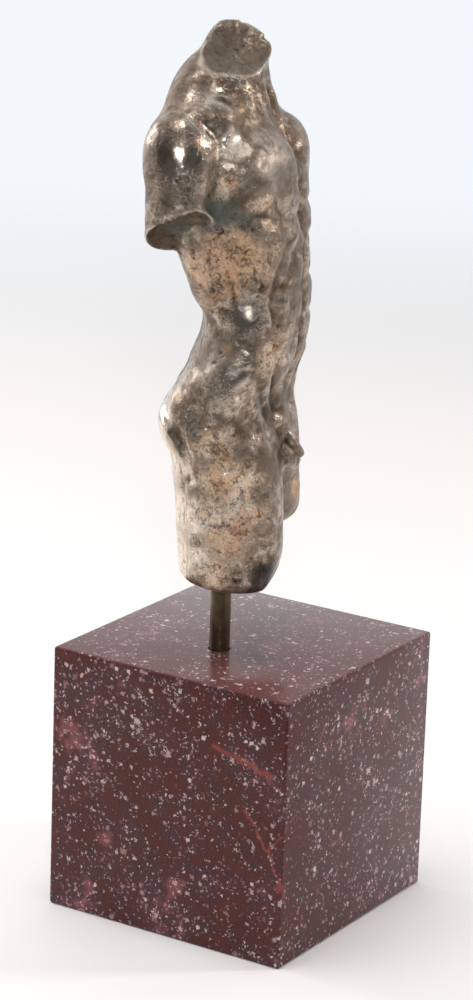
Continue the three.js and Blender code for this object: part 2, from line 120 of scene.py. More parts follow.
class Finish(Nodes):  # one procedural material
    def __init__(self, name):
        self.material = bpy.data.materials.new(name)
        self.material.use_nodes = True
        super().__init__(self.material.node_tree)
        self.shader = self.tree.nodes["Principled BSDF"]
        coordinates = self.node("ShaderNodeTexCoord")
        self.place = self.node("ShaderNodeVectorMath", {"operation": "SCALE"},
                               {"Vector": coordinates["Object"], "Scale": 1000.0})["Vector"]  # millimetres

    def noise(self, size, detail=3.0, roughness=0.5, distortion=0.0, place=None):
        return self.node("ShaderNodeTexNoise", None, {
            "Vector": place or self.place, "Scale": 1.0 / size, "Detail": detail,
            "Roughness": roughness, "Distortion": distortion})["Fac"]

    def cells(self, size, feature="F1", place=None, metric="EUCLIDEAN"):
        return self.node("ShaderNodeTexVoronoi", {"feature": feature, "distance": metric}, {
            "Vector": place or self.place, "Scale": 1.0 / size})

    def mix(self, factor, first, second):
        return self.node("ShaderNodeMix", {"data_type": "RGBA"}, {0: factor, 6: first, 7: second})["Result"]

    def attribute(self, name):
        return self.node("ShaderNodeAttribute", {"attribute_name": name})["Fac"]

    def set(self, **values):
        for key, value in values.items():
            self.feed(self.shader.inputs[key.replace("_", " ")], value)

    def bump(self, height, distance, strength=1.0):
        return self.node("ShaderNodeBump", None, {
            "Height": height, "Distance": distance / 1000, "Strength": strength})["Normal"]


camera = {  # fitted to the corners of the plinth; metres, degrees, millimetres
    "place": (-0.81645, -0.50896, 0.40964), "turn": -57.835, "rise": 16.633, "roll": 1.96,
    "lens": 125.13, "sensor": 36.0, "nearest": 0.05,
}

turn, rise, roll = (math.radians(camera[key]) for key in ("turn", "rise", "roll"))
towardViewer = Vector((math.sin(turn) * math.cos(rise), -math.cos(turn) * math.cos(rise), math.sin(rise)))
rightward = Vector((math.cos(turn), math.sin(turn), 0.0))
upward = towardViewer.cross(rightward)
imageRight = rightward * math.cos(roll) + upward * math.sin(roll)
imageUp = upward * math.cos(roll) - rightward * math.sin(roll)
deselectAll()
bpy.ops.object.camera_add(location=camera["place"])
cameraObject = bpy.context.object
cameraObject.name = "photoCamera"
cameraMatrix = Matrix((imageRight, imageUp, towardViewer)).transposed().to_4x4()
cameraMatrix.translation = Vector(camera["place"])
cameraObject.matrix_world = cameraMatrix
cameraObject.data.lens = camera["lens"]
cameraObject.data.sensor_width = camera["sensor"]
cameraObject.data.clip_start = camera["nearest"]
bpy.context.scene.camera = cameraObject

studio = {
    "floorSize": 4.0,
    "floorColour": linear(244, 241, 240),
    "floorReach": {"near": (0.16, 0.40), "far": (0.5, 1.1), "aside": (0.6, 1.2)},  # where it fades
    "backdrop": (0.90, 0.935, 0.97, 1.0),
    "backLight": 1.0, "frontLight": 0.13,  # strength of the surroundings behind the figure and before it
    "lamps": [  # name, sideways, height, toward the viewer, size, watts, colour, mirrored in the metal
        ("frontLamp", 0.02, 0.62, 1.25, 0.10, 4.2, (0.92, 0.97, 1.0), True),
        ("rightLamp", 1.00, 0.68, -0.10, 0.17, 3.6, (1.0, 0.94, 0.90), True),
        ("leftLamp", -0.95, 0.55, -0.55, 0.45, 4.5, (1.0, 0.96, 0.91), True),
        ("highLamp", 0.05, 1.40, 0.10, 0.30, 4.8, (1.0, 0.96, 0.93), True),
        ("softLamp", -0.55, 1.50, 0.20, 0.80, 8.5, (1.0, 0.99, 0.98), False),
    ],
    "aim": (0.0, 0.0, 0.16),
}
flatNear = Vector((towardViewer.x, towardViewer.y, 0.0)).normalized()


def addLamps():
    for name, sideways, height, near, size, watts, colour, mirrored in studio["lamps"]:
        place = rightward * sideways + flatNear * near + Vector((0.0, 0.0, height))
        bpy.ops.object.light_add(type="AREA", location=place)
        lamp = bpy.context.object
        lamp.name = name
        lamp.data.shape = "DISK"
        lamp.data.size = size
        lamp.data.energy = watts
        lamp.data.color = colour
        lamp.visible_glossy = mirrored
        lamp.rotation_euler = (Vector(studio["aim"]) - place).to_track_quat("-Z", "Y").to_euler()


def addSurroundings():  # bright behind the figure, dim on the viewer's side
    world = bpy.data.worlds.new("paleStudio")
    bpy.context.scene.world = world
    world.use_nodes = True
    sky = Nodes(world.node_tree)
    direction = sky.node("ShaderNodeTexCoord")["Generated"]
    behind = sky.along(direction, (-flatNear.x, -flatNear.y, 0.0))
    light = sky.band(behind, -0.1, 0.75, studio["frontLight"], studio["backLight"])
    background = sky.tree.nodes["Background"]
    sky.feed(background.inputs["Color"], studio["backdrop"])
    sky.feed(background.inputs["Strength"], light)
    bpy.context.scene.view_settings.view_transform = "Standard"


def addFloor():  # fades into the surroundings well away from the plinth
    deselectAll()
    bpy.ops.mesh.primitive_plane_add(size=studio["floorSize"], location=(0.0, 0.0, 0.0))
    floor = bpy.context.object
    floor.name = "floor"
    finish = Finish("paleFloor")
    reach = studio["floorReach"]
    near = finish.along(finish.place, flatNear) * 0.001
    aside = finish.along(finish.place, rightward) * 0.001
    shown = (finish.band(near, reach["near"][1], reach["near"][0])
             * finish.band(near, -reach["far"][1], -reach["far"][0])
             * finish.band(aside * aside, reach["aside"][1] ** 2, reach["aside"][0] ** 2))
    finish.set(Base_Color=studio["floorColour"], Roughness=0.75, Alpha=shown)
    floor.data.materials.append(finish.material)


addSurroundings()
addLamps()
addFloor()
print("camera, light and floor set")


figure = {
    "tableHeight": 158.0,  # the tables are drawn for a figure this tall, in millimetres
    "height": 158.0,
    "lift": 21.4,  # plinth top to the end of the right thigh
    "thighEnd": 2.4,
    "levels": 2,
    "facesKept": 0.9,  # share of the finer triangles that is kept, to stay under 200,000
}
scale = figure["height"] / figure["tableHeight"]
figureBase = plinthHigh[2] * 1000 + figure["lift"] - figure["thighEnd"] * scale

trunkSections = np.array([  # height, half width, front, back, squareness
    (34, 22, 12, 13, 2.2), (44, 26.5, 14.5, 15, 2.3), (52, 27.4, 15.5, 15, 2.2), (60, 26.2, 15.5, 14.3, 2.1),
    (68, 24.6, 15, 13.8, 2.1), (76, 23.5, 14.3, 12.8, 2.3), (84, 23.3, 15, 12.9, 2.3),
    (92, 24.5, 16.2, 14, 2.3), (100, 26, 17.7, 16.3, 2.3), (108, 27, 18.3, 18, 2.3),
    (116, 27, 17.3, 18.5, 2.3), (124, 26, 15.3, 18, 2.2), (132, 23.5, 12.5, 15.8, 2.1),
    (140, 18.5, 9, 13.5, 2), (146, 12.3, 7.4, 11.5, 2), (151, 9.9, 7.8, 9.6, 2),
    (157, 11.2, 12.2, 9.6, 2), (163, 12.4, 14.2, 10, 2), (172, 13, 13, 11, 2)], float)
stance = np.array([  # height, shift sideways, shift backward, turn in degrees
    (-10, 0, 1.5, 14), (20, 0, 1.5, 14), (33, 0, 2.4, 14), (44, 0, 5.2, 14), (53, 0, 6.9, 14),
    (62, 0, 4.8, 14), (70, 0, 1.6, 15), (77, 0, 0.2, 15), (86, 0, 1, 16), (96, 0, 3, 17),
    (106, 0, 4.4, 18), (116, 0, 5.2, 18), (126, 0, 5.8, 18), (136, 0, 6.6, 18), (146, -0.8, 6.8, 18),
    (156, -1.6, 6.8, 18), (170, -2.8, 6.6, 18)], float)
lean = ((40, 60, 100, 130), (0.07, 0.07, -0.06, -0.06))
trunkMasses = [  # an ellipsoid: place, radii, turn, blend; or a limb: two ends, two radii, blend
    ((12, -8.2, 121.8), (15.5, 8.2, 12.6), (10, -22, 14), 2.2),  # chest muscle
    ((20.5, -5, 122), (10, 8.2, 10.5), (0, -25, 0), 4),  # chest corner
    ((22, 0.5, 138), (26, 1.5, 124), 5.5, 5, 5),  # shoulder groove
    ((25, 2, 122), (21.5, 4, 104), 6, 4.5, 5),  # armpit wall
    ((5, 6.5, 147.5), (25, 10, 139), 7.4, 5.6, 5),  # shoulder slope
    ((9, 11, 140), (14, 6.5, 10), (0, 18, 0), 5),  # upper back
    ((4, -6.5, 139.5), (27, 4, 140), 2.4, 3.4, 3),  # collar bone
    ((2.5, -6.2, 141), (7.5, 1.5, 161), 2.6, 3.2, 2.5),  # neck cord
    ((14, 13.5, 122), (11, 6, 15), (0, -8, 0), 4),  # shoulder blade
    ((22.5, 8, 122), (17.5, 6, 90), 8.5, 6.5, 5),  # broad back
    ((16.4, -2.8, 81.2), (7.8, 8.2, 9.6), (0, 0, 6), 1.8),  # flank
    ((17.4, -4, 60), (10.2, 8.6, 17), (0, 3, 0), 5),  # hip
    ((12.3, 4.4, 48.5), (13.2, 11.8, 13.5), (0, 0, 0), 3),  # buttock
    ((0, -9.5, 48), (9, 7, 8), (0, 0, 0), 4),  # pubis
    ((1.8, -13.8, 38.4), (2.9, 3.9, 4.4), (0, 0, 0), 1),  # scrotum
    ((0, -14.8, 46), (0, -18, 39.8), 2.1, 1.9, 1),  # penis
]
legMasses = [
    ((17.8, -2.4, 24), (10.8, 12.8, 24), (0, 0, 0), 5),  # thigh outside
    ((12.8, 3.9, 16), (11.4, 9.4, 25), (0, 0, 0), 5),  # hamstring
    ((13, 0.5, 42), (12.7, -1, -14), 15.8, 14.2, 4),  # thigh
]
armMasses = [
    ((30.2, 9.6, 129), (10, 10.2, 13.2), (0, 9, 0), 1.6),  # shoulder cap
    ((27.5, 6, 128), (8, 7, 12), (0, 8, 0), 2.5),  # shoulder front
    ((31, 9.8, 124), (33.5, 10.8, 88), 9.2, 9.4, 2.5),  # upper arm
]
carving = [  # side, path, width, depth
    ("front", [(0, 60), (0, 108)], 2, -1.1),  # midline
    ("front", [(0, 108), (0, 141)], 2.8, -1.3),  # breastbone
    ("front", [(1, 109.5), (10, 109), (18, 111.5), (23.5, 114.5), (28, 119.5), (30, 124)],
     2.7, -1.3),  # chest edge
    ("front", [(2, 106), (8, 100), (14, 91)], 2.4, -0.9),  # rib arch
    ("front", [(12, 104), (15.5, 96), (16.8, 86), (16, 77), (12, 64), (5, 52)], 2.2, -1.4),  # belly border
    ("front", [(2, 99), (10, 100.5)], 1.8, -0.7),  # belly bands
    ("front", [(2, 89), (13, 90.5)], 1.8, -0.8),
    ("front", [(2, 78.5), (13, 80)], 1.8, -0.7),
    ("front", [(0, 73.6), (0, 74.4)], 1.7, -1.8),  # navel
    ("front", [(24, 68), (18.5, 61), (10.5, 51.5), (5, 46)], 2, -1.1),  # groin
    ("side", [(-15, 69.5), (-7, 72.3), (-2, 73.4)], 2, -0.7),  # hip crest
    ("side", [(-13, 66.5), (-6, 69.3), (-1, 70.4)], 1.7, 0.4),  # crest ridge
    ("side", [(-12, 108), (-4, 104)], 2.4, 0.3),  # ribs
    ("side", [(-12, 102), (-4, 97)], 2.4, 0.35),
    ("side", [(-11, 96), (-3, 90)], 2.4, 0.3),
    ("side", [(-2, 40), (1, 52)], 6, -1),  # hip hollow
    ("side", [(16, 57), (12.7, 52.2), (7, 46), (5.4, 40), (6.4, 34)], 1.9, -1.3),  # buttock crease
    ("back", [(0, 56), (0, 80), (0, 110), (0, 146)], 3.2, -2.2),  # spine furrow
    ("back", [(6, 60), (6.5, 80), (7, 98)], 3.5, 1.2),  # spine muscle
    ("back", [(7, 108), (7, 122), (10, 134)], 2.6, -0.8),  # blade edge
    ("back", [(9, 134), (20, 138), (28, 140)], 2.8, 0.6),  # blade top
    ("back", [(0, 30), (0, 60)], 2.4, -5),  # buttock cleft
    ("back", [(3, 36), (12, 34.5), (20, 39)], 2.4, -1.8),  # buttock fold
    ("back", [(8, 62.7), (8, 63.3)], 2.6, -1.3),  # back dimple
]
neckCut = {"at": (-1.8, 7.1, 153.9), "out": (-0.416, -0.34, 0.843), "reach": 15}
armCuts = {
    "right": ((-34, 14.6, 109.4), (-0.555, -0.355, -0.752)),
    "left": ((33, 14.6, 114), (0.5, -0.25, -0.83)),
}
thighFacet = ((-11, -15.1, 15), (0.1, -0.93, -0.36))
leftLeg = {"end": 14.2, "back": 5.0}
leftArmBack = 1.6
leftShoulderDrop = 2.6
armBlend = 1.8


def clamp(values, low=0.0, high=1.0):
    return np.minimum(np.maximum(values, low), high)


def smoothMin(a, b, blend):
    share = clamp(0.5 + 0.5 * (b - a) / blend)
    return b + (a - b) * share - blend * share * (1 - share)


def smoothMax(a, b, blend):
    return -smoothMin(-a, -b, blend)


def smoothColumn(table, column, heights):  # a smooth curve through one column of a table
    rows, values = table[:, 0], table[:, column]
    slopes = np.gradient(values, rows)
    i = np.clip(np.searchsorted(rows, heights) - 1, 0, len(rows) - 2)
    step = rows[i + 1] - rows[i]
    t = clamp((heights - rows[i]) / step)
    t2, t3 = t * t, t * t * t
    return ((2 * t3 - 3 * t2 + 1) * values[i] + (t3 - 2 * t2 + t) * step * slopes[i]
            + (3 * t2 - 2 * t3) * values[i + 1] + (t3 - t2) * step * slopes[i + 1])


def turnMatrix(turn):
    a, b, c = np.radians(turn)
    aroundX = np.array([[1, 0, 0], [0, np.cos(a), -np.sin(a)], [0, np.sin(a), np.cos(a)]])
    aroundY = np.array([[np.cos(b), 0, np.sin(b)], [0, 1, 0], [-np.sin(b), 0, np.cos(b)]])
    aroundZ = np.array([[np.cos(c), -np.sin(c), 0], [np.sin(c), np.cos(c), 0], [0, 0, 1]])
    return aroundZ @ aroundY @ aroundX


def joinMasses(distance, points, masses):
    for mass in masses:
        if len(mass) == 4:
            place, radii, turn, blend = mass
            radii = np.array(radii, float)
            v = (points - np.array(place)) @ turnMatrix(turn)
            first = np.linalg.norm(v / radii, axis=1)
            second = np.linalg.norm(v / (radii * radii), axis=1)
            own = first * (first - 1) / np.maximum(second, 1e-6)
        else:
            start, end, startRadius, endRadius, blend = mass
            along = np.array(end, float) - np.array(start, float)
            v = points - np.array(start, float)
            t = clamp((v @ along) / (along @ along))
            radius = startRadius + (endRadius - startRadius) * t
            own = np.linalg.norm(v - t[:, None] * along, axis=1) - radius
        distance = own if distance is None else smoothMin(distance, own, blend)
    return distance


def pathDistance(u, v, path):
    nearest = np.full(len(u), 1e9)
    for (au, av), (bu, bv) in zip(path[:-1], path[1:]):
        du, dv = bu - au, bv - av
        t = clamp(((u - au) * du + (v - av) * dv) / (du * du + dv * dv))
        nearest = np.minimum(nearest, (u - au - t * du) ** 2 + (v - av - t * dv) ** 2)
    return nearest


def straightened(world):  # from the stance above the plinth to the straight figure
    v = world.copy()
    v[:, 2] -= figureBase
    v = v / scale
    z = v[:, 2]
    turn = np.radians(smoothColumn(stance, 3, z))
    x = np.cos(turn) * v[:, 0] + np.sin(turn) * v[:, 1]
    y = np.cos(turn) * v[:, 1] - np.sin(turn) * v[:, 0]
    posed = np.stack([x, y, z], -1)
    rest = np.stack([x - smoothColumn(stance, 1, z), y - smoothColumn(stance, 2, z),
                     z + np.interp(z, *lean) * x], -1)
    return rest, posed


def brokenEnd(skin, cut, posed, name):  # a solid cut off at a dished face with a thin rim
    face = cutFaces[name]
    t = clamp((-skin - face["rim"]) / face["bowl"])
    sunk = cut + face["depth"] * t * (2 - t)
    spur, reach, amount = face["spur"]
    sunk = sunk - amount * np.exp(-((posed - np.array(spur)) ** 2).sum(1) / reach ** 2)
    flared = skin - face["lip"] * np.exp(-((cut + 0.3) / 0.6) ** 2)
    onPlane = clamp(1.4 - np.abs(sunk))
    rim = clamp(1.2 - np.abs(sunk) / 0.5) * clamp(1.3 - np.abs(skin) / 0.4)
    return smoothMax(flared, sunk, 0.6), onPlane * clamp(-skin / 0.5 - 0.3), rim


def figureParts(world):  # distance to the metal, negative inside; share of a broken face and of its rim
    rest, posed = straightened(world)
    left = rest[:, 0] > 0
    x, y, z = np.abs(rest[:, 0]), rest[:, 1], rest[:, 2]
    chestNarrowing = 0.055 * clamp((z - 95) / 20) * clamp((150 - z) / 12)
    shoulderNarrowing = 0.1 * clamp((z - 129) / 8) * clamp((152 - z) / 8)
    x = x * np.where(left, 1 + chestNarrowing + shoulderNarrowing, 1)
    power = smoothColumn(trunkSections, 4, z)
    depth = np.where(y < 0, smoothColumn(trunkSections, 2, z), smoothColumn(trunkSections, 3, z))
    share = np.abs(x / smoothColumn(trunkSections, 1, z)) ** power + np.abs(y / depth) ** power
    trunk = 0.92 * np.hypot(x, y) * (1 - 1 / np.maximum(share ** (1 / power), 1e-3))
    distance = smoothMax(trunk, 34 - z, 6)
    shoulderDrop = np.where(left, leftShoulderDrop * clamp((x - 12) / 10) * clamp((z - 126) / 8), 0)
    distance = joinMasses(distance, np.stack([x, y, z + shoulderDrop], -1), trunkMasses)
    legBack = np.where(left, leftLeg["back"] * clamp((52 - posed[:, 2]) / 24), 0)
    distance = joinMasses(distance, np.stack([x, y - legBack, z], -1), legMasses)

    armBack = np.where(left, leftArmBack, 0)
    arm = joinMasses(None, np.stack([x, y - armBack, z + shoulderDrop], -1), armMasses)
    face, rim = np.zeros(len(x)), np.zeros(len(x))
    for side, here in (("right", ~left), ("left", left)):
        place, out = armCuts[side]
        cut = (posed - np.array(place)) @ np.array(out)
        cutArm, armFace, armRim = brokenEnd(arm, cut, posed, side)
        face, rim = np.where(here, armFace, face), np.where(here, armRim, rim)
        arm = np.where(here, cutArm, arm)
    distance = smoothMin(distance, arm, armBlend)

    shown = {"front": clamp(-y / 5), "back": clamp(y / 5), "side": clamp((x - 14) / 5) * clamp((30 - x) / 3)}
    for side, path, width, depthOfLine in carving:
        fade = np.exp(-pathDistance(y if side == "side" else x, z, path) / width ** 2)
        distance = distance - depthOfLine * fade * shown[side]

    away = posed - np.array(neckCut["at"])
    fromNeck = np.hypot(away[:, 0], away[:, 1])
    cut = away @ np.array(neckCut["out"])
    cutNeck, neckFace, neckRim = brokenEnd(distance, cut, posed, "neck")
    atNeck = fromNeck < neckCut["reach"]
    distance = np.where(atNeck, cutNeck, distance)
    face, rim = np.where(atNeck, neckFace, face), np.where(atNeck, neckRim, rim)

    halfGap = -4 + 5.2 * clamp((44 - z) / 14) + 0.4 * clamp((30 - z) / 28)
    distance = smoothMax(distance, halfGap - x, 2.5)
    lowest = np.where(left, leftLeg["end"], figure["thighEnd"] + 0.05 * posed[:, 1])
    distance = smoothMax(distance, lowest - posed[:, 2], 5)
    facet = (posed - np.array(thighFacet[0])) @ np.array(thighFacet[1])
    return np.where(left, distance, smoothMax(distance, facet, 1.2)) * scale, face, rim


def figureDistance(world):
    return figureParts(world)[0]


def slopeOf(points, step=0.06):  # which way the distance grows
    slope = np.empty_like(points)
    for axis in range(3):
        ahead, behind = points.copy(), points.copy()
        ahead[:, axis] += step
        behind[:, axis] -= step
        slope[:, axis] = (figureDistance(ahead) - figureDistance(behind)) / (2 * step)
    return slope


def settle(points, rounds=3, reach=0.7):  # moves points onto the carved surface
    for _ in range(rounds):
        distance = figureDistance(points)
        slope = slopeOf(points)
        move = -(distance / np.maximum((slope ** 2).sum(1), 0.2))[:, None] * slope
        length = np.linalg.norm(move, axis=1)[:, None]
        points = points + move * np.minimum(1, reach / np.maximum(length, 1e-9))
    return points


cutFaces = {  # broken ends; a spur is a tip left on the edge: place, reach, amount
    "neck": {"rim": 0.5, "bowl": 8.0, "depth": 1.6, "lip": 0.0, "spur": ((4.0, 13.0, 160.0), 3.0, 0.6)},
    "right": {"rim": 0.4, "bowl": 6.0, "depth": 3.2, "lip": 0.3, "spur": ((-40.0, 16.0, 113.0), 6.0, 1.8)},
    "left": {"rim": 0.5, "bowl": 6.0, "depth": 1.8, "lip": 0.2, "spur": ((34.0, 20.0, 112.0), 4.0, 0.6)},
}
fineLines = [  # small grooves on the right side: backward, height; width, depth
    ([(-3.4, 107.6), (-4.3, 105.2), (-6.6, 103.6), (-8.0, 104.2)], 0.5, -0.85),  # curl
    ([(-4.6, 104.6), (-5.2, 102.6), (-6.6, 101.2)], 0.55, -0.6),
    ([(-0.4, 110.8), (-1.2, 109.4), (-0.2, 108.2), (-0.9, 106.8)], 0.7, -0.8),
    ([(-1.4, 97.6), (-1.0, 94.6), (-1.8, 91.4), (-1.4, 88.4)], 0.55, -1.0),  # crack
    ([(-1.0, 93.6), (-0.2, 92.6)], 0.45, -0.7),
    ([(2.6, 104.0), (2.2, 100.8), (2.9, 98.2)], 0.45, -0.6),
    ([(1.0, 102.0), (1.4, 100.0)], 0.4, -0.5),
    ([(-8.6, 98.6), (-8.2, 96.6)], 0.45, -0.6),
    ([(-9.6, 94.6), (-9.8, 92.4), (-8.8, 91.6)], 0.5, -0.6),
    ([(-12.4, 102.6), (-12.0, 99.4)], 0.5, -0.6),
    ([(5.4, 99.4), (4.4, 98.8)], 0.4, -0.5),
    ([(4.4, 91.6), (3.2, 91.0)], 0.4, -0.5),
    ([(-7.6, 7.6), (-6.4, 8.0), (-5.6, 7.2), (-5.8, 5.6), (-7.0, 4.9), (-7.8, 5.6)],
     0.4, -0.7),  # mark low on the thigh
    ([(8.6, 36), (9.6, 29), (9.0, 20), (9.6, 9)], 0.8, -0.6),  # streaks down the back of the thigh
    ([(11.6, 33), (12.2, 23), (11.4, 11)], 0.7, -0.55),
    ([(13.6, 31), (14.2, 20)], 0.6, -0.4),
    ([(3.0, 141.0), (-1.5, 135.0), (-1.2, 128.0), (0.6, 121.0), (1.0, 116.0)],
     1.0, -0.45),  # front edge of the shoulder
    ([(6.0, 113.6), (8.6, 116.0), (11.4, 115.0)], 0.45, -0.4),  # wrinkles of the stump
    ([(9.5, 118.4), (12.0, 119.8), (15.0, 118.6)], 0.45, -0.35),
    ([(3.4, 117.0), (5.8, 119.6)], 0.5, -0.35),
]
ridges = [  # raised lines on the right side: backward, height; width, height of the line
    ([(-14.5, 96.0), (-13.8, 90.0), (-13.2, 84.0), (-13.8, 76.0)], 0.9, 0.35),  # front edge of the flank
    ([(-12.5, 72.0), (-13.5, 64.0), (-14.0, 54.0)], 1.1, 0.3),  # front edge of the hip
]
zones = {  # where each finish, painted highlight and painted shade gathers on the straight figure: place, reach, amount
    "deposit": [((-25, -4, 102), 12, 1.0), ((-27, 4, 97), 9, 1.1), ((-20, -11, 103), 8, 0.6),
                ((-25, -3, 91), 5, 0.8), ((-28, -5, 34), 11, 0.95), ((-28, -3, 20), 12, 0.95),
                ((-25, -10, 26), 9, 0.8), ((-27, -3, 44), 8, 0.85), ((-30, -3, 123.5), 5, 0.9),
                ((-22, -11, 117), 5, 0.8), ((-36, 8, 119), 5, 0.6), ((-27, 0, 8), 8, 0.9),
                ((-18, -7, 146), 5, 0.8), ((-17, -10, 71), 7, 0.9), ((-24, 1, 73), 5, 0.6),
                ((12, -13, 80), 9, 0.5), ((16, -10, 25), 8, 0.7), ((-24, 8, 86), 6, 0.6),
                ((-12, -14, 76), 7, 0.6), ((-14, -13, 66), 5, 0.7)],
    "polish": [((-38, 8, 131), 8, 0.9), ((-31, 2, 137), 5, 1.0), ((-26, -4, 133), 5.5, 0.25),
               ((-24, -4, 82), 6.5, 0.85), ((-26, -7, 64), 6, 0.8), ((-27, -8, 55), 5, 0.6),
               ((-23, 0, 144), 5, 0.9), ((-17, 0, 146.5), 6, 1.0), ((-18, 15, 51), 9, 1.3),
               ((-22, 13, 38), 9, 1.3), ((-23, 13, 22), 9, 1.3), ((-22, 13, 8), 9, 1.2),
               ((-16, -2, 148), 4, 0.8), ((-19, -15, 127), 9, 0.3), ((12, 20, 50), 9, 0.8)],
    "green": [((-29, -1, 115), 8, 1.2), ((-31, 11, 108), 8, 1.0), ((-23, 0, 144), 4, 0.7),
              ((-17, -1, 146.5), 4, 0.8), ((-25, -6, 112), 6.5, 0.9), ((-16, -12, 88), 4, 0.5),
              ((-26, 2, 84), 3, 0.5)],
    # pale zones: painted highlights and painted reflections of the bright backdrop on the chest, buttock and
    # back of the thigh, with real paler patches on the thigh
    "paleAndHighlight": [((-25.8, -4.2, 133), 4.5, 1.2), ((-28, 5, 22), 5, 1.0), ((-27.5, 5.5, 11), 5, 0.9),
             ((-27, 6, 33), 4, 0.9), ((-19, 15, 50), 9, 1.1), ((-23, 14, 38), 8, 1.1),
             ((-24, 13, 24), 8, 1.3), ((-23, 13, 10), 8, 1.2), ((-28.5, -6, 29), 7, 0.6),
             ((-27, 4, 24), 7, 0.7), ((-27, -8, 14), 5, 0.5), ((-15, -16, 112), 4, 0.4),
             ((-24, -5, 72), 4, 0.5), ((16, -10, 28), 6, 0.4), ((-22, -2, 144), 3, 0.6),
             # small painted highlights on the hip, the shoulder and the collar
             ((-25.8, -5.5, 66.5), 2.2, 1.3), ((-26.1, -8.6, 60), 2.0, 1.1),
             ((-30.9, 1.9, 138), 2.0, 1.1), ((-16.5, 2.3, 147.7), 2.0, 1.2),
             ((-14, -3.6, 146.4), 2.0, 1.0)],
    "satin": [((-17, -16, 127), 10, 1.2), ((-10, -16, 134), 8, 1.0), ((14, -10, 22), 14, 0.9),
              ((-36, 7, 116), 7, 0.8), ((-12, -12, 100), 8, 0.6), ((-24, 5, 70), 9, 1.0),
              ((-22, 10, 60), 7, 0.8), ((-16, -8, 88), 5, 0.5)],
    "rose": [((-24, -5, 131), 5, 0.5), ((-28, -5, 32), 6, 0.7), ((-27, -3, 46), 6, 0.6),
             ((-31, 2, 137), 5, 0.6), ((-14, -12, 136), 7, 0.5), ((-19, 8, 140), 6, 0.5),
             ((-27, -8, 22), 6, 0.85), ((-27, -2, 12), 6, 0.6), ((-22, -4, 71), 4, 0.6),
             ((-28, 6, 103), 6, 0.6), ((-26, 2, 38), 6, 0.5), ((-24, -8, 98), 5, 0.5)],
    "gold": [((-18, -7, 146), 6, 1.0), ((-14, 3, 149), 6, 0.8), ((-20, -6, 140), 6, 0.7),
             ((-22, -11, 62), 5, 0.7), ((-24, -2, 98), 9, 0.6), ((-26, 4, 88), 6, 0.6),
             ((-10, -8, 148), 6, 0.7), ((-27, -2, 56), 5, 0.4)],
    # dark zones: painted shade in the armpit, under the chest, at the groin and on the downward facet of the
    # thigh, painted dark reflections on the flank and hip, and real dark streaks and tarnish elsewhere
    "darkAndShade": [((-39, 8, 126), 6, 0.7), ((-36, 8, 139), 5, 0.6), ((-24, -9, 129), 3.5, 1.1),
             ((-21, -11.5, 122), 3, 0.9), ((-13, -13, 57), 8, 1.1), ((-20, -13, 5), 8, 2.0),
             ((-26, -6, 66), 5, 0.9), ((-26.5, -8, 58), 5, 0.8), ((-18, -9, 80), 6, 0.8),
             ((-25, 0, 85), 5, 0.5), ((-26, -4, 127.5), 3, 1.0), ((-22, -12, 108), 6, 0.9),
             ((-26, 2, 60), 7, 0.6), ((-20, -12, 92), 5, 0.6), ((-16, -14, 45), 6, 0.8),
             ((0, -17, 42), 5, 0.9), ((-8, -15, 95), 6, 0.5), ((-22, 8, 140), 4, 0.6),
             ((-12, 2, 152), 5, 0.7), ((0, 4, 156), 8, 0.8), ((-23, 12.5, 28), 2.4, 1.3),
             ((-23, 12.5, 21), 2.4, 1.3), ((-23.5, 12, 14), 2.4, 1.1), ((-18, 10, 146), 8, 1.0),
             ((-20.5, 0, 145), 3, 0.9)],
}


def latticeNoise(points, size, seed):  # smooth noise, -1 to 1
    cell = points / size
    corner = np.floor(cell).astype(np.int64)
    t = cell - corner
    t = t * t * (3 - 2 * t)
    total = np.zeros(len(points))
    for i in (0, 1):
        for j in (0, 1):
            for k in (0, 1):
                code = (corner[:, 0] + i) * 73856093
                code = code ^ ((corner[:, 1] + j) * 19349663)
                code = code ^ ((corner[:, 2] + k) * 83492791)
                code = (code ^ (seed * 2654435761)) & 0xFFFFFFFF
                code = ((code ^ (code >> 15)) * 2246822519) & 0xFFFFFFFF
                code = (code ^ (code >> 13)) & 0xFFFF
                weight = (np.where(i, t[:, 0], 1 - t[:, 0]) * np.where(j, t[:, 1], 1 - t[:, 1])
                          * np.where(k, t[:, 2], 1 - t[:, 2]))
                total += weight * (code / 32767.5 - 1)
    return total


def ragged(rest):  # shifts places a little, so that the edges of patches wander
    shifts = [2.4 * latticeNoise(rest, 6.0, seed) + 1.1 * latticeNoise(rest, 2.3, seed + 9)
              for seed in (21, 22, 23)]
    return rest + np.stack(shifts, -1)


def zoneAmount(rest, blobs, mirrored=0.7):  # the far side has the same patches, fainter
    amount = np.zeros(len(rest))
    for place, reach, strength in blobs:
        for side, share in ((1, 1.0), (-1, mirrored)):
            middle = np.array(place, float) * (side, 1, 1)
            away = ((rest - middle) ** 2).sum(1) / reach ** 2
            amount = np.maximum(amount, strength * share * np.exp(-away))
    return amount


torso = {  # the socket for the rod, and the fine relief, in millimetres
    "socketRadius": ((rodHigh[0] - rodLow[0]) / 2 + rodGap) * 1000,
    "socketTop": (rodHigh[2] + rodGap) * 1000,
    "axis": ((rodLow[0] + rodHigh[0]) * 500, (rodLow[1] + rodHigh[1]) * 500),
    "dents": {"size": 4.2, "depth": 0.10},
    "grain": {"size": 1.7, "depth": 0.04, "moreWhereRough": 0.16, "lessWherePolished": 0.75},
    "veins": {"size": 2.6, "width": 0.16, "depth": 0.34, "patches": 5.0},
    "wobble": {"size": 1.1, "amount": 0.35},  # how far the fine lines wander
    "spokes": 0.16,  # relief of the broken faces
    "pits": {"share": 0.012, "most": 900, "radius": (0.45, 0.75), "depth": (0.22, 0.3)},
    "reliefLimits": (-1.2, 0.5),
    "evenRounds": 14,  # rounds of evening that tell hollows and crests from the rest
    "hollowDepth": 0.35, "crestHeight": 0.45,
    "sharpAngle": 60,
}


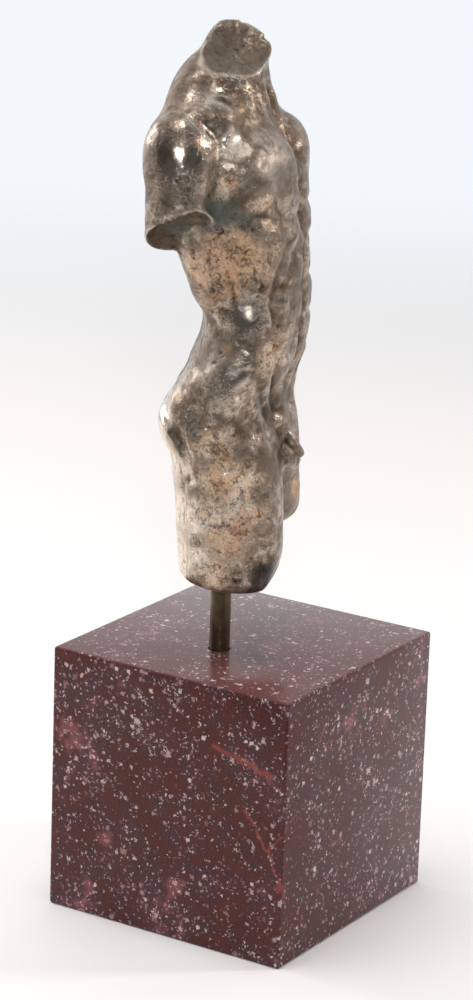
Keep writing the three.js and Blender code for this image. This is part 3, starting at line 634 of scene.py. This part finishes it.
def copyOfNode(node, name):
    source = bpy.data.objects[node]
    piece = source.copy()
    piece.data = source.data.copy()
    piece.name = name
    piece.data.name = name
    bpy.context.collection.objects.link(piece)
    selectOnly(piece)
    bpy.ops.object.mode_set(mode="EDIT")
    bpy.ops.mesh.select_all(action="SELECT")
    bpy.ops.mesh.remove_doubles(threshold=0.000002)
    bpy.ops.object.mode_set(mode="OBJECT")
    return piece


def meshPoints(mesh):
    points = np.empty(len(mesh.vertices) * 3)
    mesh.vertices.foreach_get("co", points)
    return points.reshape(-1, 3)


def fineRelief(points):  # hammered skin, cracks, curls and casting pits
    slope = slopeOf(points)
    out = slope / np.maximum(np.linalg.norm(slope, axis=1), 1e-6)[:, None]
    rest, posed = straightened(points)
    dents, grain, veins, pits = torso["dents"], torso["grain"], torso["veins"], torso["pits"]
    rough = clamp(zoneAmount(ragged(rest), zones["deposit"]))
    calm = 1 - grain["lessWherePolished"] * clamp(zoneAmount(rest, zones["polish"] + zones["paleAndHighlight"]))
    grainDepth = calm * (grain["depth"] + grain["moreWhereRough"] * rough)
    lift = dents["depth"] * latticeNoise(points, dents["size"], 3)
    lift = lift + grainDepth * latticeNoise(points, grain["size"], 5)
    veined = clamp(1 - np.abs(latticeNoise(rest * (1, 1, 0.6), veins["size"], 31)) / veins["width"])
    veined = veined * clamp(latticeNoise(rest, veins["patches"], 33) * 3 + 0.3)
    lift = lift - veins["depth"] * rough * veined
    right = rest[:, 0] < -12
    wobble = torso["wobble"]["amount"] * latticeNoise(points, torso["wobble"]["size"], 11)
    for path, width, depth in fineLines:
        fade = np.exp(-pathDistance(rest[:, 1] + wobble, rest[:, 2], path) / width ** 2)
        lift = lift + depth * fade * right
    for path, width, height in ridges:
        lift = lift + height * np.exp(-pathDistance(rest[:, 1], rest[:, 2], path) / width ** 2) * right
    random = np.random.default_rng(7)
    _, face, _ = figureParts(points)
    around = np.arctan2(posed[:, 1] - neckCut["at"][1], posed[:, 0] - neckCut["at"][0])
    spokes = np.stack([around * 7, np.zeros(len(points)), rest[:, 2] * 0.1], -1)
    lift = lift + torso["spokes"] * face * (latticeNoise(spokes, 1.0, 17) + latticeNoise(points, 1.3, 19))
    order = random.permutation(len(points))
    wanted = order[random.random(len(order)) < pits["share"] * clamp(rough[order] * 1.2)]
    tree = kdtree.KDTree(len(points))
    for index, point in enumerate(points):
        tree.insert(point, index)
    tree.balance()
    for index in wanted[:pits["most"]]:
        radius = pits["radius"][0] + pits["radius"][1] * random.random() ** 2
        deep = pits["depth"][0] + pits["depth"][1] * random.random()
        for _, near, away in tree.find_range(points[index], radius):
            lift[near] -= deep * (1 - (away / radius) ** 2) ** 2
    return points + out * clamp(lift, *torso["reliefLimits"])[:, None]


def paintAttributes(piece):  # tells the finish where each kind of surface is, and where highlights and shade are painted
    points = meshPoints(piece.data) * 1000
    rest, _ = straightened(points)
    edges = np.empty(len(piece.data.edges) * 2, dtype=np.int32)
    piece.data.edges.foreach_get("vertices", edges)
    edges = edges.reshape(-1, 2)
    count = np.bincount(edges.ravel(), minlength=len(points))[:, None]
    smooth = points.copy()
    for _ in range(torso["evenRounds"]):
        total = np.zeros_like(smooth)
        for axis in range(3):
            total[:, axis] = (np.bincount(edges[:, 0], smooth[edges[:, 1], axis], len(points))
                              + np.bincount(edges[:, 1], smooth[edges[:, 0], axis], len(points)))
        smooth = 0.4 * smooth + 0.6 * total / np.maximum(count, 1)
    slope = slopeOf(points)
    out = slope / np.maximum(np.linalg.norm(slope, axis=1), 1e-6)[:, None]
    bulge = ((points - smooth) * out).sum(1)
    wandering = ragged(rest)
    layers = {name: zoneAmount(wandering, blobs) for name, blobs in zones.items()}
    _, layers["face"], layers["rim"] = figureParts(points)
    layers["hollow"] = clamp(-bulge / torso["hollowDepth"])
    layers["crest"] = clamp(bulge / torso["crestHeight"])
    for name, values in layers.items():
        layer = piece.data.attributes.new(name, "FLOAT", "POINT")
        layer.data.foreach_set("value", values.astype(np.float32))


def buildTorso():
    piece = copyOfNode("torso", "castTorso")
    modifier = piece.modifiers.new("finer", "SUBSURF")
    modifier.subdivision_type = "SIMPLE"
    modifier.levels = figure["levels"]
    modifier.render_levels = figure["levels"]
    bpy.ops.object.modifier_apply(modifier=modifier.name)
    points = meshPoints(piece.data) * 1000
    aside = np.hypot(points[:, 0] - torso["axis"][0], points[:, 1] - torso["axis"][1])
    inSocket = (aside < torso["socketRadius"] + 0.05) & (points[:, 2] < torso["socketTop"] + 0.1)
    moved = fineRelief(settle(points))
    moved[inSocket] = points[inSocket]
    piece.data.vertices.foreach_set("co", (moved / 1000).ravel())
    piece.data.update()
    modifier = piece.modifiers.new("lighter", "DECIMATE")
    modifier.ratio = figure["facesKept"]
    bpy.ops.object.modifier_apply(modifier=modifier.name)
    inside = np.clip(meshPoints(piece.data), np.array(torsoLow), np.array(torsoHigh))
    piece.data.vertices.foreach_set("co", inside.ravel())
    piece.data.update()
    paintAttributes(piece)
    selectOnly(piece)
    bpy.ops.object.shade_smooth_by_angle(angle=math.radians(torso["sharpAngle"]))
    piece.data.materials.clear()
    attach(piece, "root")
    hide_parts("torso")
    return piece


torsoPiece = buildTorso()
print("torso built, triangles", sum(len(face.vertices) - 2 for face in torsoPiece.data.polygons))


silver = {
    "polished": linear(196, 180, 165), "film": linear(120, 99, 79), "brown": linear(98, 74, 54),
    # the dark colour: real tarnish, pits and streaks, and also painted shade
    "darkAndShade": linear(36, 29, 24), "deposit": linear(238, 190, 148), "cream": linear(248, 226, 200),
    "rose": linear(186, 122, 98), "green": linear(90, 98, 90), "gold": linear(150, 112, 64),
    # the pale colour: painted highlights and painted reflections, also used for real paler patches
    "grey": linear(146, 137, 130), "paleAndHighlight": linear(246, 230, 212), "face": linear(104, 90, 76),
    # rim: a painted highlight colour for the rims of the broken faces
    "rim": linear(220, 208, 194),
}


def silverFinish():
    finish = Finish("tarnishedSilver")
    layers = ("deposit", "polish", "green", "rose", "darkAndShade", "gold", "paleAndHighlight", "satin",
              "face", "rim", "hollow", "crest")
    deposit, polish, green, rose, darkAndShade, gold, paleAndHighlight, satin, face, rim, hollow, crest = (
        finish.attribute(name) for name in layers)
    broad = finish.noise(10.0, detail=2.0)
    patches = finish.noise(3.4, detail=6.0, roughness=0.65, distortion=0.5)
    mottle = finish.noise(1.0, detail=5.0, roughness=0.7)
    flecks = finish.noise(0.75, detail=4.0, roughness=0.8, distortion=0.6)
    grain = finish.noise(0.3, detail=2.0, roughness=0.6)
    uneven = (patches - 0.5) * 1.2 + (broad - 0.5) * 0.6 + (mottle - 0.5) * 0.35
    smooth = finish.band(satin, 0.2, 0.9)
    # pale mask: painted highlights and painted reflections, with real paler patches
    paleAndHighlightMask = finish.band(paleAndHighlight + uneven * 0.9, 0.40, 0.85)
    low = finish.band(finish.along(finish.place, (0.0, 0.0, 1.0)), 172.0, 155.0)  # below the waist
    mirror = finish.band(polish, 0.3, 0.95) * (1.0 - smooth) * (1.0 - paleAndHighlightMask * 0.2)
    film = finish.band(0.62 + uneven * 0.8 - polish * 0.55 + hollow * 0.3, 0.30, 0.75)
    crust = finish.band(deposit * 0.95 + uneven * 1.3 - polish * 0.2, 0.36, 0.72)
    # real tarnish in hollows and patches, with the painted shade and painted dark reflections of the dark
    # zones mixed in
    tarnishAndShade = darkAndShade * 0.50 + hollow * 0.55 + uneven * 0.8 + (mottle - 0.5) * 0.5 - crest * 0.5 - paleAndHighlight * 0.4
    blackTarnishAndShade = finish.band(tarnishAndShade, 0.32, 0.80)
    wobble = finish.node("ShaderNodeTexNoise", None, {
        "Vector": finish.place, "Scale": 1.6, "Detail": 2.0})["Color"]
    shifted = finish.node("ShaderNodeVectorMath", {"operation": "ADD"}, {
        0: finish.place, 1: wobble})["Vector"]
    holes = finish.cells(0.55, place=shifted)
    pick = finish.along(holes["Color"], (0.5, 0.5, 0.0))
    likely = pick + crust * 0.07 + paleAndHighlightMask * low * 0.18 + (patches - 0.5) * 1.3 - mirror * 0.12
    chosen = finish.band(likely, 0.76, 0.82)
    reach = 0.08 + finish.along(holes["Color"], (0.0, 0.0, 1.0)) * 0.34
    pits = chosen * finish.band(holes["Distance"] - reach + (flecks - 0.5) * 0.5, 0.10, -0.06)
    colour = finish.mix(film, silver["polished"], silver["film"])
    colour = finish.mix(finish.band(broad + (patches - 0.5) * 0.6, 0.40, 0.62) * 0.5, colour, silver["brown"])
    colour = finish.mix(finish.band(gold + uneven * 0.8, 0.3, 0.9) * 0.7, colour, silver["gold"])
    colour = finish.mix(smooth * 0.5, colour, silver["grey"])
    paler = finish.band(broad * 0.4 + mottle * 0.6 - gold * 0.2, 0.42, 0.60)
    tan = finish.mix(paler, silver["deposit"], silver["cream"])
    colour = finish.mix(crust * 0.92, colour, tan)
    colour = finish.mix(finish.band(rose + (patches - 0.5) * 1.6 + (mottle - 0.5) * 0.8, 0.35, 1.1) * 0.7,
                        colour, silver["rose"])
    colour = finish.mix(finish.band(green + (broad - 0.5) * 0.6, 0.35, 0.9) * 0.85, colour, silver["green"])
    # painted highlights and painted reflections, and real paler patches, in the pale colour
    colour = finish.mix(paleAndHighlightMask * 0.9, colour, silver["paleAndHighlight"])
    colour = finish.mix(face * 0.85, colour, silver["face"])
    fleck = finish.band(flecks + (patches - 0.5) * 0.6, 0.50, 0.62)
    fleck = fleck * (1.0 - smooth * 0.7) * (1.0 - mirror * 0.8)
    colour = finish.mix(fleck * (0.30 + 0.45 * crust - 0.25 * paleAndHighlightMask), colour, silver["brown"])
    smudge = finish.band(patches * 0.6 + mottle * 0.4, 0.52, 0.58) * (1.0 - mirror) * (1.0 - smooth * 0.6)
    colour = finish.mix(smudge * (0.35 + 0.15 * crust), colour, silver["darkAndShade"])
    drawn = finish.node("ShaderNodeMapping", None, {
        "Vector": finish.place, "Scale": (1.0, 1.0, 0.16)})["Vector"]
    upright = finish.noise(1.1, detail=5.0, roughness=0.65, place=drawn)
    streaks = finish.band(upright + (mottle - 0.5) * 0.3, 0.52, 0.62)
    colour = finish.mix(streaks * (paleAndHighlightMask * mirror * low * 0.85 + crust * 0.2), colour, silver["darkAndShade"])
    colour = finish.mix(blackTarnishAndShade * 0.85, colour, silver["darkAndShade"])
    # painted shade: where the dark zones are strong the colour turns to the dark colour outright
    colour = finish.mix(finish.band(darkAndShade, 0.9, 1.5) * 0.95, colour, silver["darkAndShade"])
    colour = finish.mix(pits * 0.7, colour, silver["darkAndShade"])
    colour = finish.mix(crest * 0.35, colour, silver["polished"])
    # painted highlight: a thin pale line along the rims of the broken faces
    colour = finish.mix(rim * 0.75, colour, silver["rim"])
    dulled = 0.05 + 0.16 * film + 0.24 * crust + 0.10 * mottle
    roughness = 0.10 + dulled * (1.0 - 0.55 * mirror) + 0.24 * smooth
    relief = patches * 0.45 + mottle * 0.32 + grain * 0.15 - pits * 0.6 - fleck * 0.15
    relief = relief * (1.0 - 0.75 * mirror) * (1.0 - 0.5 * paleAndHighlightMask)
    metallic = 1.0 - 0.42 * film - 0.38 * crust - 0.22 * paleAndHighlightMask
    finish.set(Base_Color=colour, Metallic=metallic, Roughness=roughness,
               Normal=finish.bump(relief, 0.45, 0.6))
    return finish.material


torsoPiece.data.materials.append(silverFinish())


rod = {"sides": 64, "edge": 0.0002, "olive": linear(110, 93, 72), "brown": linear(94, 79, 60)}


def buildRod():
    deselectAll()
    height = rodHigh[2] - rodLow[2]
    bpy.ops.mesh.primitive_cylinder_add(
        vertices=rod["sides"], radius=(rodHigh[0] - rodLow[0]) / 2, depth=height,
        location=((rodLow[0] + rodHigh[0]) / 2, (rodLow[1] + rodHigh[1]) / 2, rodLow[2] + height / 2))
    piece = bpy.context.object
    piece.name = "supportRod"
    bpy.ops.object.transform_apply(location=True, rotation=True, scale=True)
    modifier = piece.modifiers.new("edge", "BEVEL")
    modifier.width = rod["edge"]
    modifier.segments = 3
    modifier.limit_method = "ANGLE"
    bpy.ops.object.modifier_apply(modifier=modifier.name)
    bpy.ops.object.shade_smooth_by_angle(angle=math.radians(40))
    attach(piece, "root")
    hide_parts("rod")
    return piece


rodPiece = buildRod()


def rodFinish():
    finish = Finish("darkRod")
    stretched = finish.node("ShaderNodeMapping", None, {
        "Vector": finish.place, "Scale": (1.0, 1.0, 0.12)})["Vector"]
    drawn = finish.noise(0.5, detail=3.0, place=stretched)
    stain = finish.noise(3.0, detail=4.0, roughness=0.6)
    colour = finish.mix(finish.band(stain, 0.35, 0.65), rod["olive"], rod["brown"])
    finish.set(Base_Color=colour, Metallic=0.8, Roughness=0.3 + 0.2 * stain,
               Normal=finish.bump(drawn, 0.03, 0.5))
    return finish.material


rodPiece.data.materials.append(rodFinish())
print("rod built")

plinth = {"edge": 0.0008, "holeSides": 64}


def buildPlinth():
    deselectAll()
    size = plinthHigh[0] - plinthLow[0]
    middle = [(low + high) / 2 for low, high in zip(plinthLow, plinthHigh)]
    bpy.ops.mesh.primitive_cube_add(size=size, location=middle)
    piece = bpy.context.object
    piece.name = "stonePlinth"
    bpy.ops.object.transform_apply(location=True, rotation=True, scale=True)
    modifier = piece.modifiers.new("edge", "BEVEL")
    modifier.width = plinth["edge"]
    modifier.segments = 4
    bpy.ops.object.modifier_apply(modifier=modifier.name)
    deselectAll()
    bottom = rodLow[2] - rodGap
    top = plinthHigh[2] + 0.01
    bpy.ops.mesh.primitive_cylinder_add(
        vertices=plinth["holeSides"], radius=(rodHigh[0] - rodLow[0]) / 2 + rodGap, depth=top - bottom,
        location=((rodLow[0] + rodHigh[0]) / 2, (rodLow[1] + rodHigh[1]) / 2, (top + bottom) / 2))
    drill = bpy.context.object
    selectOnly(piece)
    modifier = piece.modifiers.new("hole", "BOOLEAN")
    modifier.operation = "DIFFERENCE"
    modifier.object = drill
    bpy.ops.object.modifier_apply(modifier=modifier.name)
    bpy.data.objects.remove(drill)
    selectOnly(piece)
    bpy.ops.object.shade_smooth_by_angle(angle=math.radians(30))
    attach(piece, "root")
    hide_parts("plinth")
    return piece


plinthPiece = buildPlinth()


stone = {
    "ground": linear(90, 48, 45), "mauve": linear(88, 61, 70), "deep": linear(42, 23, 22),
    "crystal": linear(222, 202, 198), "pink": linear(146, 84, 86), "vein": linear(150, 74, 70),
    "paleTopColour": linear(150, 104, 100),
    "grains": [  # size, rarity, fill
        (0.7, 0.76, 0.36), (1.1, 0.77, 0.36), (2.0, 0.80, 0.33), (3.6, 0.87, 0.28),
    ],
    "veins": [  # two ends, half width
        ((-40.0, -16.3, 62.0), (-40.0, -35.5, 57.5), 0.9),
        ((-40.0, -27.0, 45.6), (-40.0, -35.2, 34.0), 0.4),
        ((-40.0, -35.2, 34.0), (-40.0, -40.0, 24.5), 0.5),
        ((-40.0, -39.0, 25.5), (-38.5, -40.0, 23.0), 1.1),
        ((-40.0, -35.2, 34.6), (-40.0, -40.0, 41.2), 0.35),
        ((-40.0, -40.0, 41.2), (-32.1, -40.0, 46.5), 0.35),
        ((-22.0, -40.0, 64.0), (-19.5, -40.0, 70.0), 0.45),
        ((-14.0, 0.8, 80.0), (-3.5, -16.4, 80.0), 0.35),
    ],
    "clouds": [  # pinker places and their reach
        ((-40.0, 35.4, 55.0), 10.0), ((-40.0, 20.5, 25.3), 5.0), ((-40.0, -4.0, 16.0), 5.0),
        ((-40.0, 26.0, 8.0), 4.0), ((28.0, -7.0, 80.0), 7.0), ((-10.0, -40.0, 30.0), 6.0),
        ((12.0, -40.0, 58.0), 5.0),
    ],
    "sheen": (1.0, 0.74, 0.66, 1.0), "ior": 1.34,
    "paleTop": (79.2, 79.9),  # height over which the stone turns into the paler top face
}


def distanceToLine(finish, place, start, end):
    way = Vector(end) - Vector(start)
    away = finish.node("ShaderNodeVectorMath", {"operation": "SUBTRACT"}, {0: place, 1: start})["Vector"]
    share = finish.along(away, way / way.length_squared)
    share = share.math("MAXIMUM", share, 0.0)
    share = share.math("MINIMUM", share, 1.0)
    reached = finish.node("ShaderNodeVectorMath", {"operation": "SCALE"},
                          {"Vector": tuple(way), "Scale": share})["Vector"]
    left = finish.node("ShaderNodeVectorMath", {"operation": "SUBTRACT"}, {0: away, 1: reached})["Vector"]
    return finish.node("ShaderNodeVectorMath", {"operation": "LENGTH"}, {0: left})["Value"]


def warpedPlace(finish, size, amount):  # places moved about by soft noise
    wobble = finish.node("ShaderNodeTexNoise", None, {
        "Vector": finish.place, "Scale": 1.0 / size, "Detail": 2.0})["Color"]
    centred = finish.node("ShaderNodeVectorMath", {"operation": "SUBTRACT"},
                          {0: wobble, 1: (0.5, 0.5, 0.5)})["Vector"]
    shift = finish.node("ShaderNodeVectorMath", {"operation": "SCALE"},
                        {"Vector": centred, "Scale": amount})["Vector"]
    return finish.node("ShaderNodeVectorMath", {"operation": "ADD"}, {0: finish.place, 1: shift})["Vector"]


def stoneFinish():
    finish = Finish("purplePorphyry")
    broad = finish.noise(16.0, detail=2.0)
    cloud = finish.noise(4.5, detail=5.0, roughness=0.65)
    fine = finish.noise(0.5, detail=3.0, roughness=0.7)
    warped = warpedPlace(finish, 0.8, 1.8)
    bent = warpedPlace(finish, 4.0, 3.5)
    colour = finish.mix(finish.band(cloud * 0.6 + broad * 0.4, 0.42, 0.57), stone["ground"], stone["mauve"])
    colour = finish.mix(finish.band(fine * 0.7 + cloud * 0.3, 0.44, 0.60) * 0.75, colour, stone["deep"])
    rosy = broad * 0.45 + cloud * 0.55 + (fine - 0.5) * 0.1
    for place, reach in stone["clouds"]:
        away = finish.node("ShaderNodeVectorMath", {"operation": "DISTANCE"}, {
            0: finish.place, 1: place})["Value"]
        rosy = rosy + finish.band(away, reach, reach * 0.3) * 0.12
    colour = finish.mix(finish.band(rosy, 0.56, 0.68) * 0.7, colour, stone["pink"])
    height = finish.along(finish.place, (0.0, 0.0, 1.0))
    # paler on the top face, chosen by height
    colour = finish.mix(finish.band(height, *stone["paleTop"]) * 0.2, colour, stone["paleTopColour"])
    gather = (broad - 0.5) * 0.6 + (cloud - 0.5) * 1.1
    for size, chosen, reach in stone["grains"]:
        grains = finish.cells(size, place=warped, metric="CHEBYCHEV")
        pick = finish.along(grains["Color"], (0.6, 0.4, 0.0))
        picked = finish.band(pick + gather * 0.6, chosen - 0.015, chosen + 0.015)
        body = finish.band(grains["Distance"] + (fine - 0.5) * 0.35, reach, reach - 0.08)
        tone = finish.along(grains["Color"], (0.0, 0.0, 1.0))
        colour = finish.mix(picked * body * (0.55 + 0.45 * tone), colour,
                            finish.mix(tone, stone["pink"], stone["crystal"]))
    for start, end, width in stone["veins"]:
        off = distanceToLine(finish, bent, start, end)
        shown = finish.band(off, width * 1.5, width * 0.4) * (0.35 + 0.75 * fine)
        colour = finish.mix(shown, colour, stone["vein"])
    finish.set(Base_Color=colour, Roughness=0.09 + 0.10 * fine, Specular_Tint=stone["sheen"],
               IOR=stone["ior"], Normal=finish.bump(cloud * 0.3 + fine * 0.1, 0.05, 0.2))
    return finish.material


plinthPiece.data.materials.append(stoneFinish())
print("plinth built")
